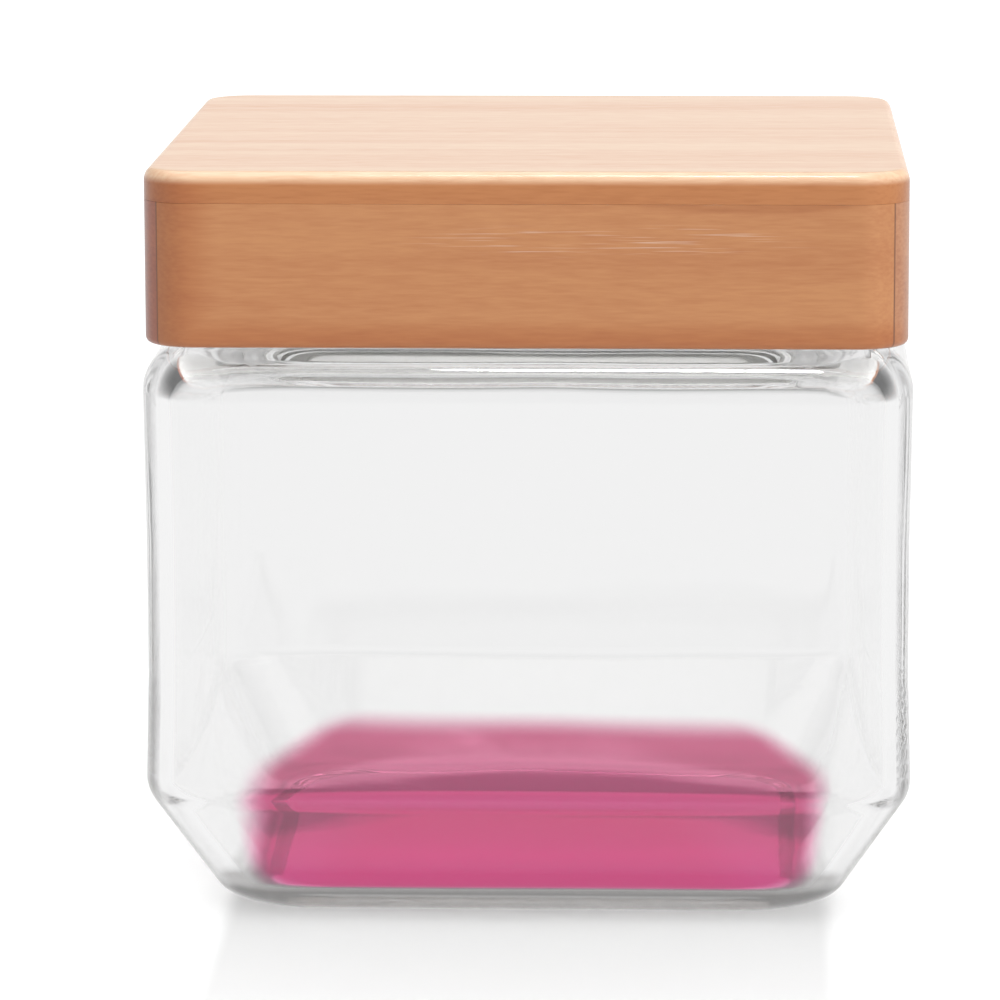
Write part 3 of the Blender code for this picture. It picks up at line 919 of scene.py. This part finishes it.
# This tint darkens the frame along its lower edge. At the lid's left end it is painted shade,
# because that end faces away from the lamps.
DARKER_EDGE_AND_SHADE_TINT = "EED9C2"
DARKER_LOWER_EDGE = (strip_low.z + 0.0050, strip_low.z + 0.0015)
LEFT_END_PAINTED_SHADE = (-0.0425, -0.0500)
GLUE_BROWN = "70472F"
GLUE_LINE = (0.00030, 0.00012)
GLUE_STRENGTH = 0.8
print("frame", round((strip_high.z - strip_low.z) * 1000, 1), "mm high")


# %% Darken the lower edge, paint shade on the left end, and draw the joint
def darker_edge_and_left_shade(tree, axes, stained):
    """The stain, darker along the lid's lower edge, and darker at its left end as painted shade.
    """
    darker = 0.0
    for measure, (begins, complete) in ((axes["Z"], DARKER_LOWER_EDGE), (axes["X"], LEFT_END_PAINTED_SHADE)):
        near = add_node(tree, "ShaderNodeMapRange",
                        {"Value": measure, "From Min": begins, "From Max": complete},
                        interpolation_type="SMOOTHSTEP").outputs[0]
        darker = add_node(tree, "ShaderNodeMath", {0: darker, 1: near},
                          operation="MAXIMUM").outputs[0]
    return add_node(tree, "ShaderNodeMix", {"Factor": darker, "A": stained, "B": linear(DARKER_EDGE_AND_SHADE_TINT)},
                    data_type="RGBA", blend_type="MULTIPLY").outputs["Result"]


def jointed(tree, place, stained, glue):
    """The stain with a brown line wherever the place is as far aside as it is forward."""
    folded = add_node(tree, "ShaderNodeVectorMath", {0: place}, operation="ABSOLUTE").outputs[0]
    folded = add_node(tree, "ShaderNodeSeparateXYZ", {0: folded}).outputs
    apart = add_node(tree, "ShaderNodeMath", {0: folded["X"], 1: folded["Y"]},
                     operation="SUBTRACT").outputs[0]
    apart = add_node(tree, "ShaderNodeMath", {0: apart}, operation="ABSOLUTE").outputs[0]
    glued = add_node(tree, "ShaderNodeMapRange",
                     {"Value": apart, "From Min": GLUE_LINE[0], "From Max": GLUE_LINE[1],
                      "To Max": glue}).outputs[0]
    return add_node(tree, "ShaderNodeMix",
                    {"Factor": glued, "A": stained, "B": linear(GLUE_BROWN)},
                    data_type="RGBA").outputs["Result"]


# %% [markdown]
# ## Marks of use on the front strip
# The front has a darker patch in its grain near the upper edge, and a group of pale, slightly
# slanting scratches. Both are patterns that show only inside a soft oval: the patch uses
# the growth bands, and the scratches a noise drawn out fifty times. A real scratch is a
# tenth of a millimetre wide, and 0.28 mm is the finest that shows.

# %% Marks
DARK_PATCH = ((0.0325, -LID_HALF, 0.1054), (0.016, 0.005, 0.0014))
DARK_PATCH_TINT = "DFC6AE"
SCRATCHED = ((0.0120, -LID_HALF, 0.1003), (0.030, 0.005, 0.0026))
SCRATCH_COLOUR = "E9D6C8"
SCRATCH_STRENGTH = 0.31
SCRATCH_MM = 0.28
SCRATCH_SLANT = math.radians(5)
SCRATCH_STRETCH = (0.02, 1, 1)
SCRATCH_RANGE = (0.56, 0.68)
OVAL_EDGE = (1.1, 0.6)


def in_oval(tree, place, oval, pattern, most):
    """The pattern where place lies in the oval (middle, half sizes), up to most."""
    apart = add_node(tree, "ShaderNodeVectorMath", {0: place, 1: oval[0]},
                     operation="SUBTRACT").outputs[0]
    apart = add_node(tree, "ShaderNodeVectorMath", {0: apart, 1: oval[1]},
                     operation="DIVIDE").outputs[0]
    apart = add_node(tree, "ShaderNodeVectorMath", {0: apart}, operation="LENGTH")
    spot = add_node(tree, "ShaderNodeMapRange",
                    {"Value": apart.outputs["Value"], "From Min": OVAL_EDGE[0],
                     "From Max": OVAL_EDGE[1], "To Max": most},
                    interpolation_type="SMOOTHSTEP").outputs[0]
    return add_node(tree, "ShaderNodeMath", {0: spot, 1: pattern},
                    operation="MULTIPLY").outputs[0]


def marked(tree, place, stained, bands, marks):
    """The stain with the darker patch and the scratches, as strong as marks says."""
    patch = in_oval(tree, place, DARK_PATCH, bands, marks)
    stained = add_node(tree, "ShaderNodeMix",
                       {"Factor": patch, "A": stained, "B": linear(DARK_PATCH_TINT)},
                       data_type="RGBA", blend_type="MULTIPLY").outputs["Result"]
    drawn_out = add_node(tree, "ShaderNodeMapping",
                         {"Vector": place, "Rotation": (0, SCRATCH_SLANT, 0),
                          "Scale": SCRATCH_STRETCH}).outputs[0]
    scratches = add_node(tree, "ShaderNodeTexNoise",
                         {"Vector": drawn_out, "Scale": 1000 / SCRATCH_MM,
                          "Detail": 2.0}).outputs[0]
    scratches = add_node(tree, "ShaderNodeMapRange",
                         {"Value": scratches, "From Min": SCRATCH_RANGE[0],
                          "From Max": SCRATCH_RANGE[1]}).outputs[0]
    scratches = in_oval(tree, place, SCRATCHED, scratches, SCRATCH_STRENGTH * marks)
    return add_node(tree, "ShaderNodeMix",
                    {"Factor": scratches, "A": stained, "B": linear(SCRATCH_COLOUR)},
                    data_type="RGBA").outputs["Result"]


# %% Lacquered pine
LACQUER_COAT = 0.5
LACQUER_ROUGHNESS = 0.10
WOOD_ROUGHNESS = 0.42
WOOD_IOR = 1.5
# The bare inner faces are bare wood, drawn near white as painted light, so that the shaded
# underside seen through the shoulder reads light grey.
BARE_AND_PAINTED_LIGHT = ("ECEAE7", "F6F6F4")
GRAIN_RELIEF = 0.07
GRAIN_DEPTH = 0.0001


def pine(name, grain_axis, stain, seed, top=None, marks=0.0, glue=GLUE_STRENGTH):
    """Lacquered pine, whose grain runs along axis 0 (X) or 1 (Y).

    Stain and top are each a dark and a pale colour, for the sides and for the upper face.
    The upper face's paler colour is painted light: the overhead light and sheen on it.
    """
    wood = bpy.data.materials.new(name)
    wood.use_nodes = True
    tree = wood.node_tree
    tree.nodes.clear()
    place = add_node(tree, "ShaderNodeTexCoord").outputs["Object"]
    axes = add_node(tree, "ShaderNodeSeparateXYZ", {0: place}).outputs
    bands, fibres, tone = wood_grain(tree, place, grain_axis, seed)
    painted_light_on_top = add_node(tree, "ShaderNodeMapRange",
                      {"Value": axes["Z"], "From Min": PAINTED_LIGHT_TOP[0], "From Max": PAINTED_LIGHT_TOP[1]},
                      interpolation_type="SMOOTHSTEP").outputs[0]
    outside = add_node(tree, "ShaderNodeMapRange",
                       {"Value": box_distance(tree, place, LID_HALF, LID_CORNER),
                        "From Min": -STAIN_DEPTH - STAIN_FADE,
                        "From Max": -STAIN_DEPTH}).outputs[0]
    outside = add_node(tree, "ShaderNodeMath", {0: outside, 1: painted_light_on_top},
                       operation="MAXIMUM").outputs[0]
    toned = [
        add_node(tree, "ShaderNodeMix",
                 {"Factor": tone, "A": linear(dark), "B": linear(pale)},
                 data_type="RGBA").outputs["Result"]
        for dark, pale in (stain, top or stain, BARE_AND_PAINTED_LIGHT)
    ]
    stained, top_painted_paler, bare_and_painted_light = toned
    stained = darker_edge_and_left_shade(tree, axes, stained)
    stained = marked(tree, place, stained, bands, marks)
    stained = jointed(tree, place, stained, glue)
    colour = add_node(tree, "ShaderNodeMix", {"Factor": painted_light_on_top, "A": stained, "B": top_painted_paler},
                      data_type="RGBA").outputs["Result"]
    colour = add_node(tree, "ShaderNodeMix", {"Factor": outside, "A": bare_and_painted_light, "B": colour},
                      data_type="RGBA").outputs["Result"]
    relief = add_node(tree, "ShaderNodeBump", {"Height": fibres, "Strength": GRAIN_RELIEF,
                                               "Distance": GRAIN_DEPTH})
    lacquered = add_node(tree, "ShaderNodeBsdfPrincipled",
                         {"Base Color": colour, "Roughness": WOOD_ROUGHNESS, "IOR": WOOD_IOR,
                          "Coat Weight": LACQUER_COAT,
                          "Coat Roughness": LACQUER_ROUGHNESS,
                          "Normal": relief.outputs[0]})
    add_node(tree, "ShaderNodeOutputMaterial", {"Surface": lacquered.outputs[0]})
    print(name, "has", len(tree.nodes), "nodes")
    return wood


# %% The lid's five woods
# The board's pale top colours are painted light: the overhead light and sheen on its upper face.
board_pine = pine("lacquered_pine_board", 0, ("A5612E", "B67440"), 0.3,
                  top=("E5AD86", "F3CFAD"), glue=0.0)
long_pine = pine("lacquered_pine_front", 0, ("B07042", "BD8150"), 1.7, marks=1.0)
right_pine = pine("lacquered_pine_right", 1, ("A66B47", "BC845C"), 2.9)
# The left strip's darker colours are painted shade: that side faces away from the lamps.
left_pine_painted_shade = pine("lacquered_pine_left_painted_shade", 1, ("985846", "B06D52"), 3.6)
plug_pine_painted_light = pine("bare_pine_plug_painted_light", 0, ("8C867F", "98938C"), 4.1, glue=0.0)

# %% [markdown]
# ## Lid: the top board
# A board 4.5 mm thick, with its upper edge rounded over and its lower edge barely eased, so
# that the joint with the frame is a hairline. A block with a bevel would look much the same,
# but carried round by the same tree its corners stay in step with the frame's.

# %% Top board
BOARD_ROUND = 0.0019
BOARD_EASED = 0.00002
EDGE_ROW = 0.0022
INNER_ROW = 0.006
board_outline = [
    (0.0, 0.0, board_low.z, 0.0),
    (LID_HALF - INNER_ROW, LID_CORNER - INNER_ROW, board_low.z, 0.0),
    (LID_HALF, LID_CORNER, board_low.z, BOARD_EASED),
    (LID_HALF, LID_CORNER, board_high.z, BOARD_ROUND),
    (LID_HALF - EDGE_ROW, LID_CORNER - EDGE_ROW, board_high.z, 0.0),
    (LID_HALF - INNER_ROW, LID_CORNER - INNER_ROW, board_high.z, 0.0),
    (0.0, 0.0, board_high.z, 0.0),
]
top_board = carried_round("pine_top_board", board_outline, board_pine)
report(top_board)
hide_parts("lid_top_board")
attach(top_board, "lid")

# %% [markdown]
# ## Lid: the frame's four strips
# On the real lid four strips are mitred and glued. Each could be drawn as a bar and cut at an
# angle, but their round corners have to meet. So the frame is carried round as one ring and
# then sawn at the corners, which is how the mitres come out true. Each strip keeps a quarter
# of the ring.

# %% The frame as one ring
STRIP_THICKNESS = 0.0095
STRIP_IN = LID_HALF - STRIP_THICKNESS
STRIP_IN_CORNER = 0.001
STRIP_IN_BEND = 0.0005
STRIP_OUT_BEND = 0.001
STRIP_TOP_BEND = 0.00005
HAIRLINE = 0.00002
STRIP_TOP = board_low.z - HAIRLINE
frame_outline = [
    (STRIP_IN, STRIP_IN_CORNER, STRIP_TOP, 0.0),
    (STRIP_IN, STRIP_IN_CORNER, strip_low.z, STRIP_IN_BEND),
    (LID_HALF, LID_CORNER, strip_low.z, STRIP_OUT_BEND),
    (LID_HALF, LID_CORNER, STRIP_TOP, STRIP_TOP_BEND),
    (STRIP_IN, STRIP_IN_CORNER, STRIP_TOP, 0.0),
]
frame_ring = carried_round("pine_frame_ring", frame_outline, long_pine)
report(frame_ring)

# %% Saw it into four strips
MITRE_GAP = 0.00002
SHARP_FROM = math.radians(40)


def sawn_strip(side, quarter, material):
    """The ring's part on one side of the lid, sawn off at both mitres."""
    name = f"pine_{side}_strip"
    turn = Matrix.Rotation(quarter * math.pi / 2, 3, "Z")
    skin = bmesh.new()
    skin.from_mesh(frame_ring.data)
    for end in (-1, 1):
        outward = turn @ Vector((end, 1, 0)).normalized()
        cut = bmesh.ops.bisect_plane(
            skin, geom=skin.verts[:] + skin.edges[:] + skin.faces[:],
            plane_co=outward * (-MITRE_GAP / 2), plane_no=outward, clear_outer=True)
        edges = [item for item in cut["geom_cut"] if isinstance(item, bmesh.types.BMEdge)]
        bmesh.ops.holes_fill(skin, edges=edges)
    mesh = bpy.data.meshes.new(name)
    skin.to_mesh(mesh)
    skin.free()
    mesh.materials.clear()
    mesh.materials.append(material)
    mesh.shade_smooth()
    mesh.set_sharp_from_angle(angle=SHARP_FROM)
    strip = bpy.data.objects.new(name, mesh)
    bpy.context.collection.objects.link(strip)
    report(strip)
    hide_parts(f"lid_{side}_strip")
    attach(strip, "lid")


strip_woods = (("front", long_pine), ("right", right_pine), ("back", long_pine),
               ("left", left_pine_painted_shade))
for quarter, (side_name, wood) in enumerate(strip_woods):
    sawn_strip(side_name, quarter, wood)
bpy.data.objects.remove(frame_ring)

# %% [markdown]
# ## Lid: the plug board and its seal
# Under the top board a smaller board drops into the mouth and centres the lid. It could be a
# plain block, but the seal needs a groove to sit in, so its edge is drawn with one. The wood
# is left bare and drawn near white as painted light, so that it reads light grey in the shade
# under the lid, and its rim is softened where it enters the glass.

# %% Plug board
plug_low, plug_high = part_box("lid_plug_board")
seal_low, seal_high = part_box("seal_ring")
PLUG_HALF = plug_high.x
PLUG_CORNER = INNER_CORNER - (MOUTH_HALF - PLUG_HALF)
PLUG_ROW = 0.005
PLUG_BEND = 0.001
GROOVE_DEPTH = 0.0024
GROOVE_ROOM = 0.0003
GROOVE_BEND = 0.0002
GROOVE_LOW = seal_low.z - GROOVE_ROOM
GROOVE_HIGH = seal_high.z + GROOVE_ROOM
plug_outline = [
    (0.0, 0.0, plug_low.z, 0.0),
    (PLUG_HALF - PLUG_ROW, PLUG_CORNER - PLUG_ROW, plug_low.z, 0.0),
    (PLUG_HALF, PLUG_CORNER, plug_low.z, PLUG_BEND),
    (PLUG_HALF, PLUG_CORNER, GROOVE_LOW, GROOVE_BEND),
    (PLUG_HALF - GROOVE_DEPTH, PLUG_CORNER - GROOVE_DEPTH, GROOVE_LOW, 0.0),
    (PLUG_HALF - GROOVE_DEPTH, PLUG_CORNER - GROOVE_DEPTH, GROOVE_HIGH, 0.0),
    (PLUG_HALF, PLUG_CORNER, GROOVE_HIGH, GROOVE_BEND),
    (PLUG_HALF, PLUG_CORNER, plug_high.z, 0.0),
    (PLUG_HALF - PLUG_ROW, PLUG_CORNER - PLUG_ROW, plug_high.z, 0.0),
    (0.0, 0.0, plug_high.z, 0.0),
]
plug = carried_round("pine_plug_board", plug_outline, plug_pine_painted_light)
report(plug)
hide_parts("lid_plug_board")
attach(plug, "lid")

# %% [markdown]
# ## Seal
# A ring of clear moulded silicone with three fins wipes the glass and holds the lid by
# friction. Silicone is milky and looks soft: a nearly white body, a satin surface, and a
# little light passing through. A round cord would seal too, but fins bend out of the way, so
# the lid comes off with one hand. The fins are drawn on the outline that is carried round.

# %% Moulded silicone
SILICONE_MILK = "E6E6E2"
SILICONE_ROUGHNESS = 0.45
SILICONE_CLEARNESS = 0.25

silicone = bpy.data.materials.new("moulded_silicone")
silicone.use_nodes = True
body = silicone.node_tree.nodes["Principled BSDF"].inputs
body["Base Color"].default_value = linear(SILICONE_MILK)
body["Roughness"].default_value = SILICONE_ROUGHNESS
body["Transmission Weight"].default_value = SILICONE_CLEARNESS

# %% Seal with three fins
SEAL_IN = PLUG_HALF - GROOVE_DEPTH + GROOVE_ROOM
SEAL_BODY = 0.0012
SEAL_ROOT = SEAL_IN + SEAL_BODY
SEAL_TIP = seal_high.x
FINS = 3
FIN_HALF = 0.00045
FIN_ROOT_BEND = 0.0002
TIP_LOW = 0.0001
TIP_HIGH = 0.0005
TIP_BEND = 0.0001
pitch = (seal_high.z - seal_low.z) / FINS


def seal_point(across, height, bend):
    """A point of the seal's section, whose corner follows the mouth's."""
    return (across, INNER_CORNER - (MOUTH_HALF - across), height, bend)


seal_outline = [seal_point(SEAL_IN, seal_high.z, 0), seal_point(SEAL_IN, seal_low.z, 0),
                seal_point(SEAL_ROOT, seal_low.z, 0)]
for fin in range(FINS):
    middle = seal_low.z + (fin + 0.5) * pitch
    seal_outline += [
        seal_point(SEAL_ROOT, middle - FIN_HALF, FIN_ROOT_BEND),
        seal_point(SEAL_TIP, middle + TIP_LOW, TIP_BEND),
        seal_point(SEAL_TIP, middle + TIP_HIGH, TIP_BEND),
        seal_point(SEAL_ROOT, middle + FIN_HALF, FIN_ROOT_BEND),
    ]
seal_outline += [seal_point(SEAL_ROOT, seal_high.z, 0), seal_point(SEAL_IN, seal_high.z, 0)]
seal = carried_round("silicone_seal_ring", seal_outline, silicone, **{"Bend steps": 3})
report(seal)
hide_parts("seal_ring")
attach(seal, "lid")
